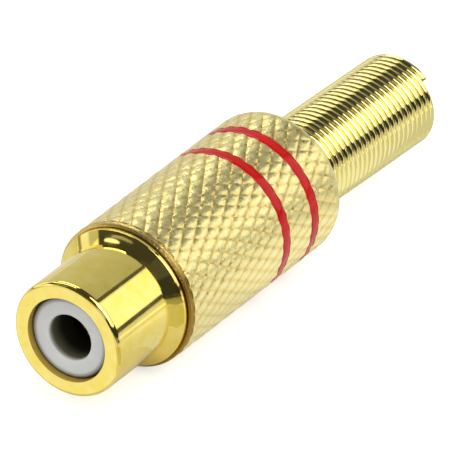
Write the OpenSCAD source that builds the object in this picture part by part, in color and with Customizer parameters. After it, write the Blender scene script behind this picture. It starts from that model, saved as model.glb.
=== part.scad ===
// Inline phono socket for a cable: a turned contact tube with a flange, a screwed barrel
// with two coloured bands, and a wound wire spring that keeps the cable from kinking.
// The mating face is at the origin and looks along -Y; the cable leaves along +Y; +Z is up.
// Every piece is drawn standing on its mating side, along its own +Z, and laid down at the end.

/* [Contact tube] */
// Outer diameter of the contact tube
tube_d = 8.3; // [8.1:0.05:8.5]
// Length of the contact tube, from the mating face to the flange
tube_l = 5.85; // [5.6:0.05:7.5]
// Rounding of the tube's front edge
tube_edge_r = 0.28; // [0.1:0.02:0.45]

/* [Flange] */
// Diameter of the flange
flange_d = 9.86; // [9.7:0.02:10.3]
// Angle of the flange's conical front to the axis
flange_angle = 48; // [45:1:60]
// Width of the plain rim behind that cone
flange_rim_w = 0.3; // [0.15:0.01:0.6]
// Rounding between the cone and the rim
flange_edge_r = 0.08; // [0.04:0.01:0.15]

/* [Barrel thread] */
// Nominal diameter of the thread that carries the barrel
thread_d = 9.0; // [8.8:0.05:9.2]
// Pitch of that thread
thread_pitch = 0.75; // [0.5:0.05:0.8]
// Length of the threaded stub behind the flange
thread_l = 4.25; // [3.9:0.05:5]
// Width of the run-out groove beside the flange
runout_w = 0.5; // [0.3:0.05:0.8]
// Radial clearance of the barrel on the thread
thread_gap = 0.06; // [0.04:0.01:0.1]

/* [Insulator] */
// Diameter of the insulator's front part
insulator_d = 5.96; // [5.7:0.02:6.2]
// Depth of the insulator's face behind the mating face
insulator_recess = 0.4; // [0.2:0.05:0.8]
// Rounding of that face's outer edge
insulator_edge_r = 0.4; // [0.1:0.05:0.6]
// Diameter of the collar that stops the insulator from coming out at the front
collar_d = 6.96; // [6.8:0.02:7.1]
// Length of that collar
collar_l = 2.8; // [1.5:0.1:3]
// Diameter of the hole for the plug's pin
pin_hole_d = 3.28; // [3.24:0.02:3.5]
// Length of that hole, up to the pocket of the centre contact
pin_hole_l = 2.7; // [1.5:0.1:3.5]
// Chamfer at the mouth of that hole
pin_hole_chamfer = 0.12; // [0.05:0.01:0.3]
// Clearance between pieces that are fitted into one another and stay there
fit_gap = 0.02; // [0.01:0.005:0.03]

/* [Centre contact] */
// Bore of the centre contact
contact_bore_d = 3.2; // [3.19:0.005:3.22]
// Wall of the split tube
contact_wall = 0.35; // [0.25:0.05:0.4]
// Depth of the contact's bore
contact_bore_l = 5.4; // [4.6:0.1:5.6]
// Distance from the pocket's front to the contact's mouth
contact_setback = 0.6; // [0.55:0.05:0.8]
// Width of the slots that make the contact springy
slot_w = 0.35; // [0.2:0.05:0.5]
// Length of those slots
slot_l = 4.0; // [2.5:0.1:4.3]
// Room around the split tube for its fingers to open
finger_room = 0.2; // [0.12:0.01:0.25]
// Diameter of the stem behind the contact
stem_d = 2.5; // [2.2:0.05:2.7]
// Length of the stem behind the insulator, with its solder cup
stem_l = 4.2; // [3.5:0.1:5]
// Bore of the solder cup
cup_d = 1.7; // [1.2:0.05:1.8]
// Depth of the solder cup
cup_l = 2.6; // [1.5:0.1:3]
// Length over which the solder cup is open at the top
cup_open_l = 1.7; // [0.8:0.1:2]

/* [Ground tag] */
// Thickness of the ground tag's sheet
tag_t = 0.4; // [0.3:0.05:0.45]
// Inner diameter of the tag's ring
tag_ring_bore_d = 5.2; // [5:0.05:5.3]
// Width of the tag's arm
arm_w = 2.4; // [1.8:0.1:2.6]
// Length of the tag behind its ring, with the cable clamp
tag_l = 10.6; // [9.5:0.1:10.9]
// Length of the cable clamp
clamp_l = 1.9; // [1.2:0.1:2.4]
// Angle over which the clamp's ears go round the cable
clamp_angle = 230; // [180:5:260]
// Width of the edge that is rolled in over the tag's ring
lip_w = 0.4; // [0.3:0.05:0.5]
// Thickness of that rolled edge
lip_t = 0.5; // [0.4:0.05:0.8]

/* [Insulating sleeve] */
// Wall of the sleeve inside the barrel
sleeve_wall = 0.38; // [0.25:0.01:0.4]
// Radial clearance of the sleeve in the barrel
sleeve_gap = 0.1; // [0.06:0.01:0.15]
// Clearance at either end of the sleeve
sleeve_end_gap = 0.2; // [0.1:0.05:0.4]

/* [Barrel] */
// Wall of the barrel over its thread, up to the peaks of its knurling
barrel_wall = 0.72; // [0.6:0.01:1.2]
// Length of the barrel
barrel_l = 18.1; // [17.1:0.05:20]
// Gap between the flange and the barrel when it is screwed home
seat_gap = 0.05; // [0.02:0.01:0.1]
// Length of the plain land before the knurling
land_l = 0.53; // [0.45:0.01:0.8]
// Depth of that land below the peaks of the knurling
land_sink = 0.05; // [0.02:0.01:0.1]
// Chamfer of the land's front edge
front_chamfer = 0.1; // [0.05:0.01:0.15]
// Radius of the soft rounding at the barrel's rear
rear_round_r = 2.3; // [1.6:0.1:4]
// Length of that rounding
rear_round_l = 1.0; // [0.6:0.05:1.3]
// Thickness of the barrel's rear wall
rear_wall = 1.8; // [1.4:0.1:2.2]

/* [Knurling] */
// Width of a diamond of the knurling, round the barrel
knurl_pitch = 1.0; // [0.8:0.05:1.5]
// Angle of the knurled lines to the axis
knurl_angle = 30; // [25:1:40]
// Depth of the knurling
knurl_depth = 0.14; // [0.08:0.01:0.25]

/* [Bands] */
// Width of each coloured band
band_w = 0.88; // [0.6:0.02:1.2]
// Distance from the barrel's rear face to the middle of the front band
front_band_from_rear = 6.6; // [5.6:0.1:8]
// Distance from the barrel's rear face to the middle of the rear band
rear_band_from_rear = 3.2; // [2.6:0.1:4]
// Depth of the groove that holds a band
band_groove = 0.3; // [0.26:0.01:0.34]
// Depth of a band's surface below the barrel's
band_sink = 0.04; // [0.02:0.01:0.08]

/* [Spring] */
// Outer diameter of the spring
spring_d = 6.62; // [6.3:0.02:6.7]
// Diameter of the spring's wire
wire_d = 0.5; // [0.4:0.01:0.51]
// Distance from one turn of the spring to the next
spring_pitch = 0.542; // [0.525:0.001:0.6]
// Length of the spring behind the barrel
spring_out = 14.3; // [8:0.1:18]
// Radial clearance of the spring in the barrel's rear hole
spring_hole_gap = 0.3; // [0.25:0.01:0.35]
// Angle by which the spring leans away from the axis
spring_lean = 1.9; // [0:0.1:2.2]
// Side to which the spring leans, as an angle round the axis
spring_lean_side = 43.5; // [0:0.5:360]
// Distance from the barrel's rear face back to where the lean starts
lean_start = 2.3; // [0.5:0.1:6.5]
// Angle round the axis at which the spring's wire ends
spring_end_side = -44.5; // [-180:0.5:180]
// Turns of the spring that are wound wide, to hold it in the barrel
wide_turns = 1.1; // [1:0.05:1.2]
// Turns over which the wide winding narrows
narrowing_turns = 0.7; // [0.6:0.05:0.8]
// Radial clearance of the widest turn in the barrel
wide_gap = 0.25; // [0.24:0.01:0.3]
// Clearance between the wide turns and the barrel's rear wall
wide_end_gap = 0.1; // [0.05:0.01:0.2]

/* [Hidden] */

$fn = 96;
// Overlap of a cutting shape past the surface that it cuts
past = 0.1;
// Steps along one turn of the spring, and sides of its wire
turn_steps = 16;
wire_sides = 8;
// Steps along the rounding of the flange's edge
edge_steps = 8;
// Height of a thread's flank as a share of its pitch
thread_depth = 0.6134 * thread_pitch;

gold = [0.86, 0.70, 0.32];
pale_gold = [0.85, 0.78, 0.50];
grey_plastic = [0.72, 0.71, 0.67];
dark_plastic = [0.16, 0.16, 0.17];
red_lacquer = [0.75, 0.08, 0.08];

// Radii of the shell
tube_r = tube_d / 2;
flange_r = flange_d / 2;
thread_r = thread_d / 2 - thread_gap;
thread_root_r = thread_d / 2 - thread_depth;
insulator_r = insulator_d / 2;
collar_r = collar_d / 2;
front_bore_r = insulator_r + fit_gap;
rear_bore_r = collar_r + fit_gap;
lip_r = rear_bore_r - lip_w;

// Places along the axis, from the mating face
rim_start = tube_l + (flange_r - tube_r) / tan(flange_angle);
flange_end = rim_start + flange_rim_w;
shell_end = flange_end + thread_l;
tag_front = shell_end - lip_t - fit_gap - tag_t;
collar_front = tag_front - collar_l;
pocket_front = insulator_recess + pin_hole_l;
contact_mouth = pocket_front + contact_setback;
contact_bore_end = contact_mouth + contact_bore_l;
stem_end = tag_front + stem_l;
tag_end = tag_front + tag_l;

// Radii of the centre contact and of its pocket in the insulator
contact_bore_r = contact_bore_d / 2;
finger_r = contact_bore_r + contact_wall;
pocket_r = finger_r + finger_room;
contact_collar_r = pocket_r - fit_gap;
stem_r = stem_d / 2;
cup_r = cup_d / 2;

// The arm lies just inside the rolled edge, so that its corners clear it
arm_corner_gap = 0.06;
arm_outer = sqrt(pow(lip_r - arm_corner_gap, 2) - pow(arm_w / 2, 2));
arm_inner = arm_outer - tag_t;

// The barrel and what it holds
barrel_r = thread_d / 2 + barrel_wall;
barrel_front = flange_end + seat_gap;
barrel_end = barrel_front + barrel_l;
thread_bore_r = thread_d / 2;
cavity_r = thread_root_r;
cavity_end = barrel_end - rear_wall;
thread_bore_end = shell_end + sleeve_end_gap / 2;
band_r = barrel_r - band_sink;
groove_r = barrel_r - band_groove;
spring_r = spring_d / 2;
spring_hole_r = spring_r + spring_hole_gap;
sleeve_r = cavity_r - sleeve_gap;

// The knurling begins behind the land, and its rows are as long as half a diamond
land_r = barrel_r - land_sink;
knurl_front = barrel_front + land_l;
knurl_count = round(2 * PI * barrel_r / knurl_pitch);
knurl_row_l = PI * barrel_r / knurl_count / tan(knurl_angle);
round_start = barrel_end - rear_round_l;

// The spring's wire runs from its first turn inside the barrel to its cut end
wire_r = wire_d / 2;
coil_r = spring_r - wire_r;
wide_coil_r = cavity_r - wide_gap - wire_r;
spring_start = cavity_end - wide_end_gap - wire_r - wide_turns * spring_pitch;
spring_end = barrel_end + spring_out - wire_r;
spring_turns = (spring_end - spring_start) / spring_pitch;
spring_steps = ceil(spring_turns * turn_steps);
sleeve_front = shell_end + sleeve_end_gap;
sleeve_end = spring_start - wire_r - sleeve_end_gap;

// Lays a piece that stands on its mating side down along +Y
module laid() {
    rotate([-90, 0, 0]) children();
}

// Front and rear edge of a band whose middle lies so far before the barrel's rear face
function band_front(from_rear) = barrel_end - from_rear - band_w / 2;
function band_rear(from_rear) = barrel_end - from_rear + band_w / 2;

// A ring's section, from radius r0 to r1 and from height z0 to z1
module ring_section(r0, r1, z0, z1) {
    translate([r0, z0]) square([r1 - r0, z1 - z0]);
}

// What rounding by radius r takes from the outer corner at [x, z], with the solid above it
module rounding_cut(x, z, r) {
    translate([x, z]) mirror([1, 0]) difference() {
        translate([-past, -past]) square(r + past);
        translate([r, r]) circle(r);
    }
}

// The flange's section: its cone, its rounded edge and its rim
module flange_section() {
    round_l = flange_edge_r * tan(flange_angle / 2);
    from_rim = flange_r - flange_edge_r;
    polygon(concat(
        [[front_bore_r, tube_l - past], [tube_r, tube_l - past], [tube_r, tube_l]],
        [for (k = [0:edge_steps])
            let (tilt = flange_angle * (1 - k / edge_steps))
            [from_rim + flange_edge_r * cos(tilt),
             rim_start + round_l - flange_edge_r * sin(tilt)]],
        [[flange_r, flange_end], [front_bore_r, flange_end]]));
}

// A chamfer cut w across and h high from the outer corner at [x, z], with the solid below it
module chamfer_cut(x, z, w, h) {
    polygon([[x - w, z + past], [x - w, z], [x, z - h], [x + past, z - h], [x + past, z + past]]);
}

module socket_shell() {
    color(gold) laid() rotate_extrude() difference() {
        union() {
            ring_section(front_bore_r, tube_r, 0, flange_end);
            flange_section();
            ring_section(front_bore_r, thread_r, flange_end - past, shell_end);
        }
        rounding_cut(tube_r, 0, tube_edge_r);
        chamfer_cut(thread_r, shell_end, thread_depth, thread_depth);
        ring_section(thread_root_r, flange_r, flange_end, flange_end + runout_w);
        ring_section(0, rear_bore_r, collar_front - fit_gap, tag_front + tag_t + fit_gap);
        ring_section(0, lip_r, tag_front, shell_end + past);
    }
}

module insulator() {
    color(grey_plastic) laid() rotate_extrude() difference() {
        union() {
            ring_section(0, insulator_r, insulator_recess, tag_front);
            ring_section(0, collar_r, collar_front, tag_front);
        }
        rounding_cut(insulator_r, insulator_recess, insulator_edge_r);
        ring_section(0, pin_hole_d / 2, insulator_recess - past, pocket_front + past);
        polygon([[0, insulator_recess - past], [0, insulator_recess + pin_hole_d / 2],
                 [pin_hole_d / 2 + pin_hole_chamfer, insulator_recess],
                 [pin_hole_d / 2 + pin_hole_chamfer, insulator_recess - past]]);
        ring_section(0, pocket_r, pocket_front, tag_front + past);
    }
}

module centre_contact() {
    color(gold) laid() difference() {
        rotate_extrude() difference() {
            union() {
                ring_section(0, finger_r, contact_mouth, tag_front);
                ring_section(0, contact_collar_r, contact_bore_end - slot_w, tag_front);
                ring_section(0, stem_r, tag_front - past, stem_end);
            }
            ring_section(0, contact_bore_r, contact_mouth - past, contact_bore_end);
            ring_section(0, cup_r, stem_end - cup_l, stem_end + past);
        }
        for (turn = [0, 90])
            rotate([0, 0, turn])
                translate([-pocket_r, -slot_w / 2, contact_mouth - past])
                    cube([2 * pocket_r, slot_w, slot_l + past]);
        translate([-stem_r - past, -stem_r - past, stem_end - cup_open_l])
            cube([2 * (stem_r + past), stem_r + past, cup_open_l + past]);
    }
}

module ground_tag() {
    color(gold) laid() {
        rotate_extrude()
            ring_section(tag_ring_bore_d / 2, collar_r, tag_front, tag_front + tag_t);
        translate([-arm_w / 2, arm_inner, tag_front])
            cube([arm_w, tag_t, tag_l]);
        rotate([0, 0, 90 - clamp_angle / 2])
            rotate_extrude(angle = clamp_angle)
                ring_section(arm_inner, arm_outer, tag_end - clamp_l, tag_end);
    }
}

module insulating_sleeve() {
    color(dark_plastic) laid() rotate_extrude()
        ring_section(sleeve_r - sleeve_wall, sleeve_r, sleeve_front, sleeve_end);
}

// Radius of the barrel's crests at height z, less at the soft rounding of the rear
function crest_r(z) = z <= round_start ? barrel_r
    : barrel_r - rear_round_r + sqrt(pow(rear_round_r, 2) - pow(z - round_start, 2));

// A plain row of the barrel's skin at height z: its radii at even and at odd steps round it
function plain_row(z, r) = [z, r, r];

// Knurled rows from height z0 to z1. Where two grooves cross, a point lies deep, and
// between the crossings lie the diamonds' peaks; from row to row they change places.
function knurled_rows(z0, z1) =
    let (rows = max(1, round((z1 - z0) / knurl_row_l)))
    [for (j = [0:rows])
        let (z = z0 + (z1 - z0) * j / rows,
             peak = crest_r(z),
             deep = min(peak, barrel_r - knurl_depth))
        j % 2 == 0 ? [z, deep, peak] : [z, peak, deep]];

// The barrel's outer form: rows of points round the axis, from the front to the rear
module knurled_form() {
    around = 2 * knurl_count;
    rows = concat(
        [plain_row(barrel_front, land_r - front_chamfer),
         plain_row(barrel_front + front_chamfer, land_r),
         plain_row(knurl_front - knurl_depth, land_r)],
        knurled_rows(knurl_front, band_front(front_band_from_rear)),
        [for (z = [band_front(front_band_from_rear), band_rear(front_band_from_rear)])
            plain_row(z, groove_r)],
        knurled_rows(band_rear(front_band_from_rear), band_front(rear_band_from_rear)),
        [for (z = [band_front(rear_band_from_rear), band_rear(rear_band_from_rear)])
            plain_row(z, groove_r)],
        knurled_rows(band_rear(rear_band_from_rear), barrel_end));
    points = [for (row = rows) for (i = [0:around - 1])
        let (turn = 360 * i / around,
             r = row[1 + i % 2])
        [r * cos(turn), r * sin(turn), row[0]]];
    skin = [for (j = [0:len(rows) - 2]) for (i = [0:around - 1])
        let (a = j * around + i,
             b = j * around + (i + 1) % around,
             c = a + around,
             d = b + around,
             a_is_deep = rows[j][1 + i % 2] < rows[j][1 + (i + 1) % 2]
                 || rows[j + 1][1 + (i + 1) % 2] < rows[j + 1][1 + i % 2])
        each a_is_deep ? [[a, d, b], [a, c, d]] : [[a, c, b], [b, c, d]]];
    front_face = [for (i = [0:around - 1]) i];
    rear_face = [for (i = [around - 1:-1:0]) (len(rows) - 1) * around + i];
    polyhedron(points, concat(skin, [front_face, rear_face]), convexity = 4);
}

module barrel() {
    color(pale_gold) laid() difference() {
        knurled_form();
        rotate_extrude() {
            ring_section(0, thread_bore_r, barrel_front - past, thread_bore_end);
            ring_section(0, cavity_r, barrel_front, cavity_end);
            ring_section(0, spring_hole_r, barrel_front, barrel_end + past);
        }
    }
}

// A band fills its groove to just under the barrel's surface
module band(from_rear) {
    color(red_lacquer) laid() rotate_extrude()
        ring_section(groove_r, band_r, band_front(from_rear), band_rear(from_rear));
}

module front_band() {
    band(front_band_from_rear);
}

module rear_band() {
    band(rear_band_from_rear);
}

// Eases from 0 to 1 while x goes from 0 to 1
function ease(x) = let (t = min(max(x, 0), 1)) t * t * (3 - 2 * t);

// Radius of the wire's centre line after so many turns from the start
function turn_r(turns) = wide_coil_r
    + (coil_r - wide_coil_r) * ease((turns - wide_turns) / narrowing_turns);

// How far the spring has leant aside at height z
function lean_at(z) = tan(spring_lean) * (z - barrel_end + lean_start);

// One ring of points round the wire, after so many turns from the start
function wire_ring(turns) =
    let (side = spring_end_side - 360 * (spring_turns - turns),
         z = spring_start + turns * spring_pitch)
    [for (i = [0:wire_sides - 1])
        let (around = 360 * i / wire_sides,
             r = turn_r(turns) + wire_r * cos(around))
        [r * cos(side) + lean_at(z) * cos(spring_lean_side),
         r * sin(side) + lean_at(z) * sin(spring_lean_side),
         z + wire_r * sin(around)]];

module spring() {
    rings = [for (k = [0:spring_steps]) wire_ring(spring_turns * k / spring_steps)];
    points = [for (ring = rings) for (point = ring) point];
    sides = [for (k = [0:spring_steps - 1]) for (i = [0:wire_sides - 1])
        let (a = k * wire_sides + i,
             b = k * wire_sides + (i + 1) % wire_sides)
        each [[a, b, b + wire_sides], [a, b + wire_sides, a + wire_sides]]];
    start_cap = [for (i = [wire_sides - 1:-1:0]) i];
    end_cap = [for (i = [0:wire_sides - 1]) spring_steps * wire_sides + i];
    color(gold) laid() polyhedron(points, concat(sides, [start_cap, end_cap]), convexity = 10);
}

socket_shell();
insulator();
centre_contact();
ground_tag();
insulating_sleeve();
barrel();
front_band();
rear_band();
spring();
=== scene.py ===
import math

import bpy
import numpy as np
from mathutils import Matrix, Vector


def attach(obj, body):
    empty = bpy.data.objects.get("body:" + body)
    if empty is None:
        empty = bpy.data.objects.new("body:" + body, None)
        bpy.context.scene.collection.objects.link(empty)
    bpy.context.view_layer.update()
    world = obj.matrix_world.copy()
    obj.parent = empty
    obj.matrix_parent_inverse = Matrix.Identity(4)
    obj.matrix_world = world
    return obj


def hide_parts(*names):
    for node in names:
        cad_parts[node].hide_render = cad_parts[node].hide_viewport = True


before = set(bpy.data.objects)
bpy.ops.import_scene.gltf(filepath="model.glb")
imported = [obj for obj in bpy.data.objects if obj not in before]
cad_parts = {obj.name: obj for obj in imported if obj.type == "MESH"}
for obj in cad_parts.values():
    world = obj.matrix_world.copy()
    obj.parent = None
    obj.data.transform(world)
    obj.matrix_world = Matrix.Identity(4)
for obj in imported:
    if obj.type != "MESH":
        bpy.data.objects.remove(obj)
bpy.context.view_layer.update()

# The inline phono socket lies along +Y, with its mating face at the origin. The script makes
# its visible pieces as finer meshes than the solids, gives all pieces their materials, and
# sets a stage of a floor, reflected cards and lamps. Lengths are millimetres, as in the part's
# construction, and MM turns them to metres. Only the cards' and lamps' distances, the lamps'
# sizes and the floor's width are metres from the start.

MM = 0.001

# Sizes of the turned pieces. The roundings of the tube's and the insulator's edges and the
# flange's bulge follow the highlights in the photograph.
TUBE_R = 4.15
TUBE_L = 5.85
TUBE_EDGE_R = 0.38
FLANGE_R = 4.93
FLANGE_ANGLE = 48
FLANGE_EDGE_R = 0.08
FLANGE_BULGE = 0.015
FLANGE_END = 6.852
RIM_BREAK = 0.02
THREAD_R = 4.44
THREAD_ROOT_R = 4.04
THREAD_PITCH = 0.75
THREAD_START = 7.35
SHELL_END = 11.102
FRONT_BORE_R = 3.0
REAR_BORE_R = 3.5
BORE_BREAK = 0.03
REAR_BORE_START = 7.36
LIP_R = 3.1
LIP_START = 10.6
LIP_CHAMFER = 0.1
INSULATOR_R = 2.98
INSULATOR_FACE = 0.4
INSULATOR_EDGE_R = 0.25
INSULATOR_END = 10.18
COLLAR_R = 3.48
COLLAR_START = 7.38
PIN_HOLE_R = 1.64
PIN_HOLE_ROUNDING = 0.12
POCKET_R = 2.15
POCKET_START = 3.1
BARREL_R = 5.22
BARREL_START = 6.902
BARREL_END = 25.002
LAND_R = 5.17
FRONT_CHAMFER = 0.1
MOUTH_R = 5.0
MOUTH_DEPTH = 0.15
KNURL_START = 7.432
ROUND_START = 24.002
ROUND_R = 2.3
ROUND_ROWS = (24.6, 24.8, 24.9)
THREAD_BORE_R = 4.5
THREAD_BORE_END = 11.2
CAVITY_R = 4.04
CAVITY_END = 23.202
SPRING_HOLE_R = 3.61
HOLE_CHAMFER = 0.1
BAND_MIDDLES = (18.402, 21.802)
BAND_W = 0.88
BAND_GROOVES = [(middle - BAND_W / 2, middle + BAND_W / 2) for middle in BAND_MIDDLES]
GROOVE_R = 4.92
BAND_R = 5.18
BAND_CROWN = 0.07

# The stub's thread: the slope of its flanks and the share that its root cuts off, the slope at
# which it runs in behind the groove, the length of its chamfered end, and its rows of points
FLANK_SLOPE = 1.35
ROOT_FLAT = 0.15
RUN_IN_SLOPE = 1.2
END_CHAMFER = 0.46
THREAD_ROWS = 70

# The knurling: diamonds round the barrel, the lines' angle to the axis, a diamond's length and
# the steps of the net across it, the depths of the two families of grooves, how strong the
# painted shade in them is, and how narrow the grooves and the shaded lines in them are
DIAMONDS = 33
KNURL_ANGLE = math.radians(30)
DIAMOND_L = 2 * math.pi * BARREL_R / DIAMONDS / math.tan(KNURL_ANGLE)
FINE = 14
KNURL_DEPTHS = (0.046, 0.036)
GROOVE_SHADE_SHARES = (0.9, 0.65)
KNURL_POWER = 2.6
GROOVE_SHADE_POWER = 3.2

# The faint unevenness of the rolled surface: its height, its waves, and the most turns and
# radians to a millimetre that one wave has
WAVINESS = 0.014
WAVES = 24
WAVE_TURNS = 36
WAVE_RATE = 7
WAVE_SEED = 5

# The turned ridges of the land before the knurling, and the least gap between the two
RIDGE_PITCH = 0.26
RIDGE_DEPTH = 0.03
RIDGE_STEPS = 8
LAND_GAP = 0.03

# The spring: its wire, its two widths, its turns, its lean, and the finish of the wire's ends
WIRE_R = 0.25
COIL_R = 3.06
WIDE_COIL_R = 3.54
SPRING_START = 22.256
SPRING_PITCH = 0.542
SPRING_END = 39.052
WIDE_TURNS = 1.1
NARROWING_TURNS = 0.7
LEAN = math.radians(1.9)
LEAN_SIDE = math.radians(43.5)
LEAN_START = 22.702
WIRE_END_SIDE = math.radians(-44.5)
WIRE_END_SHARE = 0.8
WIRE_END_STEP = 0.02

# The photograph's view: its size and where the mating face's centre lies in it, in pixels,
# the pixels to one millimetre half way along the socket, and the direction of the view
PHOTO_PX = 450
FRONT_PX = (66.2, 340.45)
PX_PER_MM = 15.2
MIDDLE_Y = 16.0
VIEW_AZIMUTH = math.radians(33.27)
VIEW_ELEVATION = math.radians(30.07)
CAMERA_SIDE = math.atan2(math.sin(VIEW_ELEVATION),
                         math.sin(VIEW_AZIMUTH) * math.cos(VIEW_ELEVATION))
LENS = 1350.0
SENSOR = 36.0


def make_camera():
    """A long lens, far off, so that the sides of the barrel stay parallel as in the photograph."""
    right = Vector((math.cos(VIEW_AZIMUTH), math.sin(VIEW_AZIMUTH), 0))
    back = Vector((math.sin(VIEW_AZIMUTH) * math.cos(VIEW_ELEVATION),
                   -math.cos(VIEW_AZIMUTH) * math.cos(VIEW_ELEVATION),
                   math.sin(VIEW_ELEVATION)))
    up = back.cross(right)
    focal_px = LENS / SENSOR * PHOTO_PX
    distance = focal_px / PX_PER_MM
    depth_of_middle = back.y * MIDDLE_Y
    front_scale = focal_px / (distance + depth_of_middle)
    aim = (right * (PHOTO_PX / 2 - FRONT_PX[0]) / front_scale
           + up * (FRONT_PX[1] - PHOTO_PX / 2) / front_scale
           + back * depth_of_middle)
    data = bpy.data.cameras.new("camera")
    data.lens = LENS
    data.sensor_width = SENSOR
    data.clip_start, data.clip_end = 0.01, 10
    camera = bpy.data.objects.new("camera", data)
    axes = Matrix((right, up, back)).transposed().to_4x4()
    camera.matrix_world = Matrix.Translation((aim + back * distance) * MM) @ axes
    bpy.context.collection.objects.link(camera)
    bpy.context.scene.camera = camera


def mesh_object(name, points, faces, sharp=None):
    """A smooth-shaded mesh from points in millimetres; edges over the sharp angle stay crisp."""
    mesh = bpy.data.meshes.new(name)
    mesh.from_pydata((np.asarray(points) * MM).tolist(), [], faces)
    mesh.validate()
    mesh.shade_smooth()
    if sharp is not None:
        mesh.set_sharp_from_angle(angle=math.radians(sharp))
    made = bpy.data.objects.new(name, mesh)
    bpy.context.collection.objects.link(made)
    return made


def around(steps):
    """The angles of a ring's points, by the right-hand rule about +Y."""
    return np.arange(steps) * 2 * math.pi / steps


def ring(r, s, steps):
    """One ring of points at s along the axis; r is one radius or one for each point."""
    angle = around(steps)
    r = np.broadcast_to(r, steps)
    return np.stack([r * np.cos(angle), np.full(steps, float(s)), -r * np.sin(angle)], 1)


def turned(name, rings, sharp=30, diagonal=None):
    """A closed solid of revolution. rings go once round its section, so that the last joins the
    first. diagonal(j, i) is True where a cell is cut from its first corner."""
    steps, count = len(rings[0]), len(rings)
    faces = []
    for j in range(count):
        for i in range(steps):
            a = j * steps + i
            b = j * steps + (i + 1) % steps
            c = (j + 1) % count * steps + i
            d = (j + 1) % count * steps + (i + 1) % steps
            if diagonal is None:
                faces.append((a, b, d, c))
            elif diagonal(j, i):
                faces += [(a, b, d), (a, d, c)]
            else:
                faces += [(a, b, c), (b, d, c)]
    return mesh_object(name, np.concatenate(rings), faces, sharp)


def arc(r, s, radius, start, end, steps=8):
    """Section points on an arc round (r, s) between two angles in degrees; 0 is outwards."""
    return [(r + radius * math.cos(math.radians(t)), s + radius * math.sin(math.radians(t)))
            for t in np.linspace(start, end, steps + 1)]


def thread_radius(s, angle):
    """Radius of the stub's right-hand thread, with its start and its chamfered end."""
    turn = (s / THREAD_PITCH - angle / (2 * math.pi)) % 1
    flank = np.clip(np.abs(turn * 2 - 1) * FLANK_SLOPE - ROOT_FLAT, 0, 1)
    run_in = THREAD_ROOT_R + max(0, s - THREAD_START) * RUN_IN_SLOPE
    chamfer = THREAD_R - max(0, s - SHELL_END + END_CHAMFER)
    turned_down = min(THREAD_R, run_in, chamfer)
    return np.minimum(THREAD_ROOT_R + (THREAD_R - THREAD_ROOT_R) * flank, turned_down)


def tube_outline():
    """The mouth of the bore, the tube's rounded edge and the tube up to the flange."""
    outline = [(FRONT_BORE_R, BORE_BREAK), (FRONT_BORE_R + BORE_BREAK, 0.0)]
    outline += arc(TUBE_R - TUBE_EDGE_R, TUBE_EDGE_R, TUBE_EDGE_R, -90, 0)
    return outline + [(TUBE_R, TUBE_L)]


def flange_outline():
    """The flange's slightly bulged cone, its rim and its back, down to the thread's root."""
    lean = math.radians(FLANGE_ANGLE)
    cone_l = (FLANGE_R - TUBE_R) / math.sin(lean)
    outline = []
    for t in np.linspace(0, 1, 9)[1:-1]:
        bulge = FLANGE_BULGE * 4 * t * (1 - t)
        outline.append((TUBE_R + t * cone_l * math.sin(lean) + bulge * math.cos(lean),
                        TUBE_L + t * cone_l * math.cos(lean) - bulge * math.sin(lean)))
    rim = TUBE_L + (FLANGE_R - TUBE_R) / math.tan(lean) + FLANGE_EDGE_R * math.tan(lean / 2)
    outline += arc(FLANGE_R - FLANGE_EDGE_R, rim, FLANGE_EDGE_R, -FLANGE_ANGLE, 0)
    return outline + [(FLANGE_R, FLANGE_END - RIM_BREAK), (FLANGE_R - RIM_BREAK, FLANGE_END),
                      (THREAD_ROOT_R, FLANGE_END)]


def make_shell():
    """The contact tube with its flange, its threaded stub and its bores."""
    steps = 256
    angle = around(steps)
    rings = [ring(r, s, steps) for r, s in tube_outline() + flange_outline()]
    rings += [ring(thread_radius(s, angle), s, steps)
              for s in np.linspace(THREAD_START, SHELL_END, THREAD_ROWS)]
    inside = [(LIP_R + LIP_CHAMFER, SHELL_END), (LIP_R, SHELL_END - LIP_CHAMFER),
              (LIP_R, LIP_START), (REAR_BORE_R, LIP_START),
              (REAR_BORE_R, REAR_BORE_START), (FRONT_BORE_R, REAR_BORE_START)]
    rings += [ring(r, s, steps) for r, s in inside]
    return turned("shell_turned", rings)


def make_insulator():
    """The plastic plug, from its rounded face to its collar and its pocket."""
    steps = 160
    rounding = PIN_HOLE_ROUNDING
    outline = [(PIN_HOLE_R, POCKET_START), (PIN_HOLE_R, INSULATOR_FACE + rounding)]
    outline += arc(PIN_HOLE_R + rounding, INSULATOR_FACE + rounding, rounding, 180, 270, 4)
    outline += arc(INSULATOR_R - INSULATOR_EDGE_R, INSULATOR_FACE + INSULATOR_EDGE_R,
                   INSULATOR_EDGE_R, -90, 0)
    outline += [(INSULATOR_R, COLLAR_START), (COLLAR_R, COLLAR_START), (COLLAR_R, INSULATOR_END),
                (POCKET_R, INSULATOR_END), (POCKET_R, POCKET_START)]
    return turned("insulator_moulded", [ring(r, s, steps) for r, s in outline])


def waviness(s, angle):
    """Height of the surface's unevenness at a place, the same on every run."""
    chance = np.random.default_rng(WAVE_SEED)
    total = 0
    for _ in range(WAVES):
        turns = chance.integers(-WAVE_TURNS, WAVE_TURNS + 1)
        rate = chance.uniform(-WAVE_RATE, WAVE_RATE)
        start = chance.uniform(0, 2 * math.pi)
        total = total + np.cos(turns * angle + rate * s + start)
    return WAVINESS * total / math.sqrt(WAVES)


def grooved(s, angle, amounts, power):
    """Sums the two families of rounded grooves at a place: 0 on top of a diamond, and a
    family's amount in the middle of its groove."""
    u = angle * DIAMONDS / (2 * math.pi)
    v = (s - KNURL_START) / DIAMOND_L
    total = 0
    for w, amount in zip((u + v, u - v), amounts):
        from_groove = np.abs((w + 0.5) % 1 - 0.5)
        total = total + amount * (1 - 2 * from_groove) ** power
    return total


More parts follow.
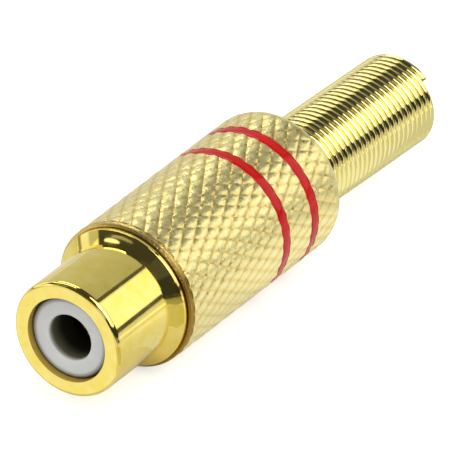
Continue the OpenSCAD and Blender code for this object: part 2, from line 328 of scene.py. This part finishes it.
def knurl_radius(s, angle):
    """Radius of the knurled skin, lowered so that its waves stay within the barrel's radius."""
    depth = grooved(s, angle, KNURL_DEPTHS, KNURL_POWER)
    return BARREL_R - WAVINESS * 2 + waviness(s, angle) - depth


def rounded_radius(s):
    """Radius of the soft rounding at the barrel's rear."""
    past = max(0.0, s - ROUND_START)
    return BARREL_R - ROUND_R + math.sqrt(ROUND_R ** 2 - past ** 2)


def land_rings(steps):
    """The chamfered front edge and the land with its turned ridges."""
    start = BARREL_START + FRONT_CHAMFER
    rings = [ring(LAND_R - FRONT_CHAMFER, BARREL_START, steps)]
    for s in np.arange(start, KNURL_START - LAND_GAP, RIDGE_PITCH / RIDGE_STEPS):
        depth = RIDGE_DEPTH * math.sin(math.pi * (s - start) / RIDGE_PITCH) ** 2
        rings.append(ring(LAND_R - depth, s, steps))
    return rings


def knurl_rows():
    """Places along the knurling in order: the net's rows, each with its number, and with None
    those at the bands' grooves and on the rear rounding."""
    row_l = DIAMOND_L / FINE
    count = int((BARREL_END - KNURL_START) / row_l)
    rows = {round(KNURL_START + j * row_l, 6): j for j in range(count + 1)}
    groove_edges = [edge for groove in BAND_GROOVES for edge in groove]
    for s in groove_edges + [*ROUND_ROWS, BARREL_END]:
        rows.setdefault(s, None)
    return sorted(rows.items())


def knurled_rings(steps):
    """The knurled skin with the bands' grooves, and the net's row that each ring lies on."""
    angle = around(steps)
    rings, rows = [], []
    for s, row in knurl_rows():
        if any(front < s < rear for front, rear in BAND_GROOVES):
            continue
        skin = ring(np.minimum(knurl_radius(s, angle), rounded_radius(s)), s, steps)
        groove_floor = ring(GROOVE_R, s, steps)
        if any(s == front for front, rear in BAND_GROOVES):
            rings += [skin, groove_floor]
            rows += [row, None]
        elif any(s == rear for front, rear in BAND_GROOVES):
            rings += [groove_floor, skin]
            rows += [None, row]
        else:
            rings.append(skin)
            rows.append(row)
    return rings, rows


def make_barrel():
    """The barrel with its skin, grooves and bores. Its attribute groove is the grooves' painted
    shade.
    """
    steps = DIAMONDS * FINE
    land = land_rings(steps)
    skin, rows = knurled_rings(steps)
    inside = [(SPRING_HOLE_R + HOLE_CHAMFER, BARREL_END),
              (SPRING_HOLE_R, BARREL_END - HOLE_CHAMFER),
              (SPRING_HOLE_R, CAVITY_END), (CAVITY_R, CAVITY_END), (CAVITY_R, THREAD_BORE_END),
              (THREAD_BORE_R, THREAD_BORE_END), (THREAD_BORE_R, BARREL_START + MOUTH_DEPTH),
              (MOUTH_R, BARREL_START)]
    rings = land + skin + [ring(r, s, steps) for r, s in inside]
    rows = [None] * len(land) + rows + [None] * len(inside)

    def diagonal(j, i):
        """Cuts each cell of the net along the groove or ridge that crosses it."""
        return rows[j] is not None and (i - rows[j]) % (FINE // 2) == 0

    made = turned("barrel_knurled", rings, sharp=25, diagonal=diagonal)
    angle = around(steps)
    # Each point's share of painted shade in the knurling's grooves; none off the net.
    tones = [np.zeros(steps) if row is None else grooved(r[0][1], angle, GROOVE_SHADE_SHARES, GROOVE_SHADE_POWER)
             for row, r in zip(rows, rings)]
    made.data.attributes.new("groove", "FLOAT", "POINT").data.foreach_set(
        "value", np.concatenate(tones).astype(np.float32))
    return made


def make_band(name, middle):
    """The lacquer in one groove, domed across its width."""
    steps = 256
    low, high = middle - BAND_W / 2, middle + BAND_W / 2
    dome = [(BAND_R - BAND_CROWN * (2 * t - 1) ** 4, low + (high - low) * t)
            for t in np.linspace(0, 1, 13)]
    outline = [(GROOVE_R, low)] + dome + [(GROOVE_R, high)]
    return turned(name, [ring(r, s, steps) for r, s in outline], sharp=60)


def ease(x):
    """Goes smoothly from 0 to 1 as x does."""
    t = min(max(x, 0.0), 1.0)
    return t * t * (3 - 2 * t)


def make_spring():
    """The wire as a tube along its helix, wound wide at first and leaning a little aside."""
    turn_steps, sides = 96, 14
    turns = (SPRING_END - SPRING_START) / SPRING_PITCH
    count = math.ceil(turns * turn_steps)
    side = around(sides)
    rings = []
    for k in range(-1, count + 2):
        t = turns * min(max(k, 0), count) / count
        size = WIRE_R * (WIRE_END_SHARE if k in (-1, count + 1) else 1.0)
        angle = WIRE_END_SIDE - 2 * math.pi * (turns - t)
        if k == count + 1:
            angle += WIRE_END_STEP
        s = SPRING_START + t * SPRING_PITCH
        coil = WIDE_COIL_R + (COIL_R - WIDE_COIL_R) * ease((t - WIDE_TURNS) / NARROWING_TURNS)
        lean = math.tan(LEAN) * (s - LEAN_START)
        r = coil + size * np.cos(side)
        rings.append(np.stack([r * math.cos(angle) + lean * math.cos(LEAN_SIDE),
                               s + size * np.sin(side),
                               -r * math.sin(angle) - lean * math.sin(LEAN_SIDE)], 1))
    faces = []
    for k in range(len(rings) - 1):
        for i in range(sides):
            a, b = k * sides + i, k * sides + (i + 1) % sides
            faces.append((a, b, b + sides, a + sides))
    faces.append(tuple(range(sides)))
    last = (len(rings) - 1) * sides
    faces.append(tuple(last + i for i in reversed(range(sides))))
    return mesh_object("spring_wire", np.concatenate(rings), faces, sharp=40)


# Materials. Colours are linear, and a pair of them is a piece's darker and lighter tone.

GOLD_LOW, GOLD_HIGH = (0.93, 0.73, 0.14), (0.97, 0.81, 0.25)
PALE_LOW, PALE_HIGH = (0.93, 0.80, 0.31), (1.0, 0.92, 0.46)
WIRE_LOW, WIRE_HIGH = (0.92, 0.80, 0.30), (0.96, 0.86, 0.38)
GREY_LOW, GREY_HIGH = (0.66, 0.67, 0.65), (0.71, 0.72, 0.70)
DARK_LOW, DARK_HIGH = (0.012, 0.012, 0.013), (0.025, 0.025, 0.027)
RED_LOW, RED_HIGH = (0.50, 0.004, 0.004), (0.61, 0.008, 0.007)
# Painted shade: the darker gold in the knurling's grooves.
GROOVE_SHADE_GOLD = (0.80, 0.62, 0.20)
# Painted shade: the brown on the land's lower side, over the land's darker gold.
LAND_GOLD, LAND_SHADE_BROWN = (0.72, 0.54, 0.18), (0.40, 0.24, 0.04)
# Painted shade: the dark gold on the tube's bore wall.
BORE_SHADE_GOLD = (0.46, 0.30, 0.06)
# Painted shade: the pin hole darkening with depth.
HOLE_SHADE_DIM, HOLE_SHADE_DARK = (0.16, 0.15, 0.09), (0.02, 0.018, 0.008)
# Painted shade: the dark brown round the insulator's outer edge.
EDGE_SHADE_BROWN = (0.05, 0.038, 0.028)

# Where zones of another tone begin and are full: the painted shade in the tube's bore, the
# land before the knurling and the painted shade on its lower side, the painted shade in the
# depths of the pin hole, and the painted shade at the insulator's edge
BORE_SHADE_ZONE = (FRONT_BORE_R + 0.04, FRONT_BORE_R + 0.01)
LAND_ZONE = (KNURL_START + 0.03, KNURL_START - 0.02)
LOWER_SHADE_ZONE = (-1.0, 1.5)
HOLE_SHADE_DIM_ZONE = (0.42, 0.85)
HOLE_SHADE_DARK_ZONE = (0.8, 1.9)
EDGE_SHADE_ZONE = (2.52, 2.92)

# The ways along which a zone is measured
ALONG = (0, 1, 0)
LOWER_SIDE = (math.sin(CAMERA_SIDE), 0, -math.cos(CAMERA_SIDE))
AWAY = "away from the axis"

# The range in which most of a noise's values lie, its detail, how fine the tones' noise is
# against the roughness's grain, how fine plastic's relief is against it, and how deep light
# goes into plastic
NOISE_LOW, NOISE_HIGH = 0.3, 0.7
NOISE_DETAIL = 3.0
METAL_TONE = 0.8
PLASTIC_TONE = 0.3
PLASTIC_RELIEF = 2
SUBSURFACE_DEPTH = 0.3


def material(name):
    """A new material, with its nodes, its links and its main shader."""
    made = bpy.data.materials.new(name)
    made.use_nodes = True
    nodes, links = made.node_tree.nodes, made.node_tree.links
    return made, nodes, links, nodes["Principled BSDF"]


def noise(nodes, links, scale):
    """Noise in the piece's own coordinates, in cells per metre."""
    coordinates = nodes.new("ShaderNodeTexCoord")
    texture = nodes.new("ShaderNodeTexNoise")
    texture.inputs["Scale"].default_value = scale
    texture.inputs["Detail"].default_value = NOISE_DETAIL
    links.new(coordinates.outputs["Object"], texture.inputs["Vector"])
    return texture.outputs["Fac"]


def ramp(nodes, links, value, low, high):
    """Blends from one colour to another as a noise rises."""
    made = nodes.new("ShaderNodeValToRGB")
    first, last = made.color_ramp.elements
    first.position, last.position = NOISE_LOW, NOISE_HIGH
    first.color, last.color = (*low, 1), (*high, 1)
    links.new(value, made.inputs["Fac"])
    return made.outputs["Color"]


def spread(nodes, links, value, low, high):
    """Maps a noise to a range of numbers."""
    made = nodes.new("ShaderNodeMapRange")
    made.inputs["From Min"].default_value = NOISE_LOW
    made.inputs["From Max"].default_value = NOISE_HIGH
    made.inputs["To Min"].default_value = low
    made.inputs["To Max"].default_value = high
    links.new(value, made.inputs["Value"])
    return made.outputs["Result"]


def bump(nodes, links, shader, value, height):
    """Relief of a height in millimetres."""
    made = nodes.new("ShaderNodeBump")
    made.inputs["Strength"].default_value = 1.0
    made.inputs["Distance"].default_value = height * MM
    links.new(value, made.inputs["Height"])
    links.new(made.outputs["Normal"], shader.inputs["Normal"])


def place(nodes, links, way, start, end):
    """Goes from 0 to 1 between two places in millimetres, along a way or away from the axis."""
    coordinates = nodes.new("ShaderNodeTexCoord")
    measure = nodes.new("ShaderNodeVectorMath")
    if way == AWAY:
        flat = nodes.new("ShaderNodeVectorMath")
        flat.operation = "MULTIPLY"
        flat.inputs[1].default_value = (1, 0, 1)
        measure.operation = "LENGTH"
        links.new(coordinates.outputs["Object"], flat.inputs[0])
        links.new(flat.outputs["Vector"], measure.inputs[0])
    else:
        measure.operation = "DOT_PRODUCT"
        measure.inputs[1].default_value = way
        links.new(coordinates.outputs["Object"], measure.inputs[0])
    made = nodes.new("ShaderNodeMapRange")
    made.inputs["From Min"].default_value = start * MM
    made.inputs["From Max"].default_value = end * MM
    links.new(measure.outputs["Value"], made.inputs["Value"])
    return made.outputs["Result"]


def blended(nodes, links, factor, first, second):
    """Goes from one colour to another, each a plain colour or a socket."""
    made = nodes.new("ShaderNodeMix")
    made.data_type = "RGBA"
    links.new(factor, made.inputs["Factor"])
    for colour, end in ((first, made.inputs["A"]), (second, made.inputs["B"])):
        if isinstance(colour, tuple):
            end.default_value = (*colour, 1)
        else:
            links.new(colour, end)
    return made.outputs["Result"]


def zoned(nodes, links, colour, zones):
    """Changes a colour in zones, each a colour with the places where it begins and is full. The
    colour may be a list: a colour with zones of its own."""
    for other, way, start, end in zones:
        if isinstance(other, list):
            other = zoned(nodes, links, other[0], other[1:])
        colour = blended(nodes, links, place(nodes, links, way, start, end), colour, other)
    return colour


def finish_surface(nodes, links, shader, colour, rough, grain):
    """Gives a shader its colour, and a roughness that wanders with the grain."""
    links.new(colour, shader.inputs["Base Color"])
    links.new(spread(nodes, links, noise(nodes, links, grain), *rough),
              shader.inputs["Roughness"])


def metal(name, low, high, rough, grain, relief, groove=None, zones=(), mirror=None):
    """Plated metal: two close tones, a roughness that wanders, and a faint relief of the
    plating. groove is the painted shade in the knurling's grooves, and mirror the zone in which
    the metal goes from dull to mirroring, where it doesn't mirror everywhere."""
    made, nodes, links, shader = material(name)
    shader.inputs["Metallic"].default_value = 1.0
    if mirror:
        links.new(place(nodes, links, *mirror), shader.inputs["Metallic"])
    colour = ramp(nodes, links, noise(nodes, links, grain * METAL_TONE), low, high)
    # Painted shade in the grooves, as much as the attribute groove gives.
    if groove:
        share = nodes.new("ShaderNodeAttribute")
        share.attribute_name = "groove"
        colour = blended(nodes, links, share.outputs["Fac"], colour, groove)
    colour = zoned(nodes, links, colour, zones)
    finish_surface(nodes, links, shader, colour, rough, grain)
    bump(nodes, links, shader, noise(nodes, links, grain), relief)
    return made


def plastic(name, low, high, rough, grain, relief, subsurface=0.0, zones=()):
    """Moulded plastic: two close tones, a roughness that wanders, and a faint relief."""
    made, nodes, links, shader = material(name)
    colour = ramp(nodes, links, noise(nodes, links, grain * PLASTIC_TONE), low, high)
    colour = zoned(nodes, links, colour, zones)
    finish_surface(nodes, links, shader, colour, rough, grain)
    shader.inputs["Subsurface Weight"].default_value = subsurface
    shader.inputs["Subsurface Scale"].default_value = SUBSURFACE_DEPTH * MM
    bump(nodes, links, shader, noise(nodes, links, grain * PLASTIC_RELIEF), relief)
    return made


def lacquer(name):
    """Red lacquer under a thin clear coat, which runs a little unevenly."""
    tone_grain, rough_grain, relief_grain = 900.0, 2500.0, 1600.0
    made, nodes, links, shader = material(name)
    colour = ramp(nodes, links, noise(nodes, links, tone_grain), RED_LOW, RED_HIGH)
    finish_surface(nodes, links, shader, colour, (0.16, 0.28), rough_grain)
    shader.inputs["Specular IOR Level"].default_value = 0.1
    shader.inputs["Coat Weight"].default_value = 0.28
    shader.inputs["Coat IOR"].default_value = 1.55
    shader.inputs["Coat Roughness"].default_value = 0.06
    bump(nodes, links, shader, noise(nodes, links, relief_grain), 0.02)
    return made


# Stage: floor, cards that the metal reflects, lamps and world

# Half the floor's width in metres, how much the floor shines towards the camera alone, how
# much light the world gives where it isn't seen or mirrored, how far off in metres the cards
# are, and how blunt an oval card's ends are
FLOOR_HALF = 3.0
FLOOR_SEEN = 0.6
WORLD_LIGHT = 0.55
CARD_DISTANCE = 0.6
OVAL_END = 0.0001


def stage(made, glossy_only=False):
    """Hides an object from everything but mirrored light when glossy_only is set; otherwise leaves
    it as it is.
    """
    if glossy_only:
        made.visible_camera = False
        made.visible_diffuse = False
        made.visible_transmission = False
        made.visible_shadow = False


def glow(name, level):
    """A material that shines at one level, or in one colour."""
    colour = level if isinstance(level, tuple) else (level, level, level)
    made = bpy.data.materials.new(name)
    made.use_nodes = True
    nodes, links = made.node_tree.nodes, made.node_tree.links
    nodes.clear()
    emission = nodes.new("ShaderNodeEmission")
    emission.inputs["Color"].default_value = (*colour, 1)
    output = nodes.new("ShaderNodeOutputMaterial")
    links.new(emission.outputs["Emission"], output.inputs["Surface"])
    return made


def card(name, level, side, lean, distance=CARD_DISTANCE, slant=0.0, oval=False):
    """A patch of a large sphere round the socket, which only mirror-like surfaces see.
    side is its range of angles round the axis in degrees, 0 at the camera's side and positive
    towards the floor in front, and lean its range of angles from +Y, 180 towards -Y. Nearer
    cards cover farther ones. slant is how much the lean rises from one side to the other, and
    an oval card narrows nearly to a point at both sides."""
    steps = 24
    points, faces = [], []
    for j in range(steps + 1):
        for i in range(steps + 1):
            around_axis = CAMERA_SIDE - math.radians(side[0] + (side[1] - side[0]) * i / steps)
            width = math.sqrt(1 + OVAL_END - (2 * i / steps - 1) ** 2) if oval else 1
            middle = (lean[0] + lean[1]) / 2 + slant * (i / steps - 0.5)
            from_rear = math.radians(middle + (lean[1] - lean[0]) * (j / steps - 0.5) * width)
            off_axis = distance / MM * math.sin(from_rear)
            points.append((off_axis * math.cos(around_axis), distance / MM * math.cos(from_rear),
                           off_axis * math.sin(around_axis)))
    for j in range(steps):
        for i in range(steps):
            a = j * (steps + 1) + i
            faces.append((a, a + 1, a + steps + 2, a + steps + 1))
    made = mesh_object(name, points, faces)
    made.data.materials.append(glow(name, level))
    stage(made, glossy_only=True)


def level_patch(name, x, y, z):
    """A level rectangle; x and y are ranges."""
    corners = [(x[0], y[0], z), (x[1], y[0], z), (x[1], y[1], z), (x[0], y[1], z)]
    return mesh_object(name, corners, [(0, 1, 2, 3)])


def floor_card(name, level, x, y, height=0.02):
    """A patch just over the floor, which only mirror-like surfaces see."""
    made = level_patch(name, x, y, -BARREL_R + height)
    made.data.materials.append(glow(name, level))
    stage(made, glossy_only=True)


def make_floor():
    """A white floor that fades into the white background and keeps a soft shadow."""
    half = FLOOR_HALF / MM
    floor = level_patch("floor", (-half, half), (-half, half), -BARREL_R)
    made, nodes, links, shader = material("floor_white")
    shader.inputs["Base Color"].default_value = (0.8, 0.8, 0.8, 1)
    shader.inputs["Roughness"].default_value = 0.9
    shader.inputs["Specular IOR Level"].default_value = 0.1
    shader.inputs["Emission Color"].default_value = (1, 1, 1, 1)
    path = nodes.new("ShaderNodeLightPath")
    seen = nodes.new("ShaderNodeMath")
    seen.operation = "MULTIPLY"
    seen.inputs[1].default_value = FLOOR_SEEN
    links.new(path.outputs["Is Camera Ray"], seen.inputs[0])
    links.new(seen.outputs["Value"], shader.inputs["Emission Strength"])
    floor.data.materials.append(made)
    stage(floor)


def make_world():
    """White behind the object and in mirrors, and dimmer as light on the floor and plastic."""
    world = bpy.data.worlds.new("world")
    bpy.context.scene.world = world
    world.use_nodes = True
    nodes, links = world.node_tree.nodes, world.node_tree.links
    background = nodes["Background"]
    background.inputs["Color"].default_value = (1, 1, 1, 1)
    path = nodes.new("ShaderNodeLightPath")
    full = path.outputs["Is Camera Ray"]
    for kind in ("Is Glossy Ray", "Is Transmission Ray"):
        either = nodes.new("ShaderNodeMath")
        either.operation = "MAXIMUM"
        links.new(full, either.inputs[0])
        links.new(path.outputs[kind], either.inputs[1])
        full = either.outputs["Value"]
    strength = nodes.new("ShaderNodeMapRange")
    strength.inputs["To Min"].default_value = WORLD_LIGHT
    strength.inputs["To Max"].default_value = 1.0
    links.new(full, strength.inputs["Value"])
    links.new(strength.outputs["Result"], background.inputs["Strength"])


def lamp(name, direction, distance, size, power):
    """A softbox that faces the socket's middle."""
    data = bpy.data.lights.new(name, "AREA")
    data.shape = "RECTANGLE"
    data.size, data.size_y = size
    data.energy = power
    made = bpy.data.objects.new(name, data)
    toward = Vector(direction).normalized()
    made.location = toward * distance + Vector((0, MIDDLE_Y * MM, 0))
    made.rotation_mode = "QUATERNION"
    made.rotation_quaternion = toward.to_track_quat("Z", "Y")
    bpy.context.collection.objects.link(made)


def make_cards_over_camera():
    """The bright boxes that light the tops of the barrel and the spring, and their dark edges."""
    card("box_rear", 1.27, (-14, 37), (8, 54))
    card("box_over_camera", 0.9, (-15, 26), (54, 82))
    card("box_high", 1.5, (-15, 28), (82, 130))
    card("edge_left", 0.10, (-24, -17), (8, 54))
    card("edge_right", 0.10, (38, 46), (34, 54))
    card("dark_right_rear", 0.05, (35, 46), (8, 34), 0.58)


def make_ceiling():
    """Strips round the upper side, each a little darker than the last. The later ones are
    shorter and leave room for dark cards."""
    start, width = -130, 10.6
    for k in range(10):
        level = 0.63 - 0.017 * k
        lean = (8, 54) if k < 6 else (36, 51)
        card("ceiling_%d" % k, level, (start + width * k, start + width * (k + 1)), lean)


def make_dark_cards():
    """The dark room that gives the polished metal its contrast, and the light before it."""
    card("dark_rear", 0.05, (-66.4, -24), (8, 36))
    card("dark_above", 0.05, (-66.4, -24), (51, 54))
    card("dark_left", 0.05, (-106, -17), (98, 142))
    card("dark_left_rear", 0.06, (-104, -17), (54, 98))
    card("dim_left_low", 0.08, (-106, -17), (142, 165))
    card("dark_right", 0.03, (27, 46), (54, 82))
    card("dark_right_high", 0.03, (28, 50), (82, 130))
    card("dark_right_front", 0.04, (16, 50), (130, 165))
    card("dark_camera", 0.08, (-17, 16), (130, 147))
    card("light_low", 0.8, (-17, 16), (147, 165))
    card("light_front", 0.7, (-130, 50), (165, 180))


def make_left_cards():
    """The boxes at the left, and those beyond them that light the pieces' left edges."""
    card("box_left_low", 4.0, (-98, -57), (54, 64), 0.58)
    card("box_left_high", 2.5, (-96, -57), (84, 97), 0.58)
    card("box_left_edge", 0.8, (-104, -95), (54, 98), 0.57)
    card("far_left_low", 0.55, (-128, -104), (54, 72))
    card("far_left_high", 1.1, (-128, -104), (72, 98))
    card("far_left_edge", 1.0, (-128, -118), (98, 112))
    card("far_left_gold", 0.6, (-118, -106), (98, 112))
    card("far_left_cream", 1.2, (-128, -106), (112, 135))
    card("far_left_front", 0.8, (-128, -106), (135, 165))
    card("edge_far_left", 0.3, (-132, -128), (54, 135))
    card("spot", 1.6, (-99, -77), (120.7, 123.9), 0.55, 9.5, oval=True)
    card("haze", 0.45, (-90, -58), (122.3, 125), 0.56, 11, oval=True)


def make_floor_cards():
    """What the pieces' undersides see of the floor: bright, and darker where they shade it."""
    floor_card("floor_front", 1.0, (-60, 6), (-60, -0.8))
    floor_card("floor_dark", 0.05, (20, 400), (-400, -60))
    floor_card("floor_dark_right", 0.05, (45, 400), (-60, 15))
    floor_card("floor_right", (0.64, 0.60, 0.38), (8.5, 26), (-14, 3))
    floor_card("floor_right_far", (0.40, 0.37, 0.24), (26, 400), (-60, -12))
    for k in range(7):
        x = (4 + k, 26 - k)
        y = (8 + 1.5 * k, 40 - 1.5 * k)
        floor_card("floor_side_%d" % k, 0.77 + 0.025 * k, x, y, 0.02 + 0.005 * k)
    floor_card("floor_barrel", 1.0, (5, 24), (18, 32), 0.06)
    floor_card("floor_barrel_far", 1.2, (24, 60), (32, 50), 0.08)
    floor_card("floor_spring", 0.68, (5, 24), (33, 60), 0.06)
    floor_card("floor_spring_far", 0.45, (24, 50), (52, 82), 0.06)


def make_stage():
    """Everything round the socket."""
    make_floor()
    make_world()
    make_cards_over_camera()
    make_ceiling()
    make_dark_cards()
    make_left_cards()
    make_floor_cards()
    lamp("key", direction=(0.55, -0.15, 0.75), distance=0.55, size=(0.35, 0.6), power=1.6)
    lamp("fill", direction=(-0.8, -0.5, 0.7), distance=0.7, size=(0.5, 0.5), power=1.0)


make_camera()

# In the tube's bore the gold turns dark and dull: painted shade.
bright_gold = metal("bright_gold", GOLD_LOW, GOLD_HIGH, rough=(0.05, 0.10), grain=1200.0,
                    relief=0.0015, zones=[(BORE_SHADE_GOLD, AWAY, *BORE_SHADE_ZONE)],
                    mirror=(AWAY, *reversed(BORE_SHADE_ZONE)))
# The knurled gold is darkened in its grooves with painted shade.
knurled_gold = metal("knurled_gold", PALE_LOW, PALE_HIGH, rough=(0.25, 0.37), grain=5500.0,
                     relief=0.026, groove=GROOVE_SHADE_GOLD,
                     # the land goes brown towards its lower side: painted shade
                     zones=[([LAND_GOLD, (LAND_SHADE_BROWN, LOWER_SIDE, *LOWER_SHADE_ZONE)],
                             ALONG, *LAND_ZONE)])
wire_gold = metal("wire_gold", WIRE_LOW, WIRE_HIGH, rough=(0.04, 0.09), grain=1500.0,
                  relief=0.001)
tag_gold = metal("tag_gold", GOLD_LOW, GOLD_HIGH, rough=(0.15, 0.3), grain=1500.0,
                 relief=0.004)
grey_plastic = plastic("grey_plastic", GREY_LOW, GREY_HIGH, rough=(0.42, 0.58), grain=3000.0,
                       relief=0.004, subsurface=0.15,
                       # the pin hole darkens with depth: painted shade
                       zones=[(HOLE_SHADE_DIM, ALONG, *HOLE_SHADE_DIM_ZONE),
                              (HOLE_SHADE_DARK, ALONG, *HOLE_SHADE_DARK_ZONE),
                              # the insulator darkens towards its outer edge: painted shade
                              (EDGE_SHADE_BROWN, AWAY, *EDGE_SHADE_ZONE)])
dark_plastic = plastic("dark_plastic", DARK_LOW, DARK_HIGH, rough=(0.3, 0.45), grain=2500.0,
                       relief=0.003)
red_lacquer = lacquer("red_lacquer")

pieces = [
    (make_shell(), "socket", ["socket_shell"], "bright_gold", bright_gold),
    (make_insulator(), "socket", ["insulator"], "grey_plastic", grey_plastic),
    (make_barrel(), "barrel", ["barrel"], "knurled_gold", knurled_gold),
    (make_band("front_band_lacquer", BAND_MIDDLES[0]), "barrel", ["front_band"],
     "red_lacquer", red_lacquer),
    (make_band("rear_band_lacquer", BAND_MIDDLES[1]), "barrel", ["rear_band"],
     "red_lacquer", red_lacquer),
    (make_spring(), "barrel", ["spring"], "spring_gold", wire_gold),
]
for piece, body, nodes_replaced, slot, finish in pieces:
    piece.data.materials.append(finish)
    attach(piece, body)
    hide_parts(*nodes_replaced)

for node, finish in (("centre_contact", tag_gold), ("ground_tag", tag_gold),
                     ("insulating_sleeve", dark_plastic)):
    carried = bpy.data.objects[node]
    carried.data.materials.clear()
    carried.data.materials.append(finish)

make_stage()

bpy.context.scene.view_settings.view_transform = "Standard"
